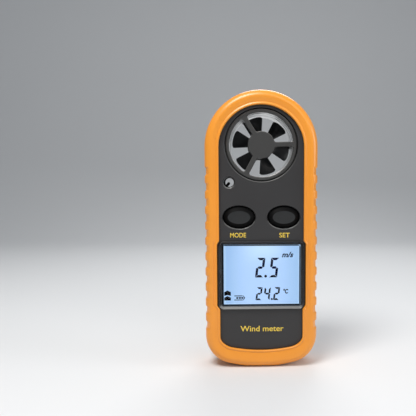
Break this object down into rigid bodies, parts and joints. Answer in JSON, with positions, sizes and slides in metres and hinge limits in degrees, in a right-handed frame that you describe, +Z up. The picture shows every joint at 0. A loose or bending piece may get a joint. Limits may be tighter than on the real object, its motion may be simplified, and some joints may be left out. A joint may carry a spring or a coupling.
{
  "type": "handheld weather meter",
  "caption": "Pocket vane anemometer with thermometer: slim case with a round-headed wind duct, oval keys and a lit display, in a ribbed rubber cover.",
  "frame": {"origin": "centre of the meter's width and depth, at the lowest point of the rubber cover", "axes": "+Z runs up the length towards the wind duct, -Y is the way the display faces, X is the width"},
  "size_m": [0.045, 0.0184, 0.1109],
  "materials": {
    "cover_rubber": "satin moulded rubber, orange",
    "case_plastic": "fine spark-eroded texture, charcoal",
    "duct_metal": "bright turned",
    "vane_plastic": "smooth moulded, black",
    "black_moulding": "moulded epoxy",
    "key_rubber": "satin silicone",
    "grey_silicone": "matt silicone",
    "carbon": "carbon filled",
    "window_clear": "clear polished acrylic",
    "display_cell": "lit display, pale blue",
    "white_plastic": "moulded",
    "zebra_rubber": "layered contact rubber",
    "board_laminate": "solder resist, green",
    "flex_film": "polyimide film",
    "steel": "plated",
    "brass": "turned",
    "ferrite": "pressed ferrite, ground"
  },
  "bodies": {
    "housing": {"protective_boot": "cover_rubber", "front_case": "case_plastic", "rear_case": "case_plastic", "front_grille": "case_plastic", "rear_grille": "case_plastic", "duct_liner": "duct_metal", "front_bearing": "brass", "rear_bearing": "brass", "speed_sensor": "black_moulding", "sensor_flex": "flex_film", "temperature_sensor": "black_moulding", "display_window": "window_clear", "lcd_glass": "display_cell", "lcd_holder": "white_plastic", "backlight_panel": "white_plastic", "backlight_led": "white_plastic", "upper_contact_strip": "zebra_rubber", "lower_contact_strip": "zebra_rubber", "keypad_mat": "grey_silicone", "main_board": "board_laminate", "driver_chip": "black_moulding", "quartz_crystal": "steel", "filter_capacitor": "brass", "coin_cell": "steel", "negative_contact": "steel", "positive_contact": "steel", "case_screw_upper_left": "steel", "case_screw_upper_right": "steel", "case_screw_lower_left": "steel", "case_screw_lower_right": "steel", "board_screw_upper": "steel", "board_screw_lower": "steel"},
    "rotor": {"impeller": "vane_plastic", "impeller_shaft": "steel", "rotor_magnet": "ferrite"},
    "mode_button": {"mode_key": "key_rubber", "mode_key_contact": "carbon"},
    "set_button": {"set_key": "key_rubber", "set_key_contact": "carbon"},
    "door": {"battery_door": "case_plastic"}
  },
  "joints": [
    {"name": "impeller_spin", "type": "hinge", "parent": "housing", "child": "rotor", "pos_m": [0, 0, 0.0893], "axis": [0, 1, 0], "continuous": true},
    {"name": "mode_key_press", "type": "slide", "parent": "housing", "child": "mode_button", "axis": [0, 1, 0], "range_m": [0, 0.0008], "stiffness_N_per_m": 800},
    {"name": "set_key_press", "type": "slide", "parent": "housing", "child": "set_button", "axis": [0, 1, 0], "range_m": [0, 0.0008], "stiffness_N_per_m": 800},
    {"name": "battery_door_open", "type": "hinge", "parent": "housing", "child": "door", "pos_m": [0, 0.0066, 0.0203], "axis": [-1, 0, 0], "range_deg": [0, 75]}
  ]
}
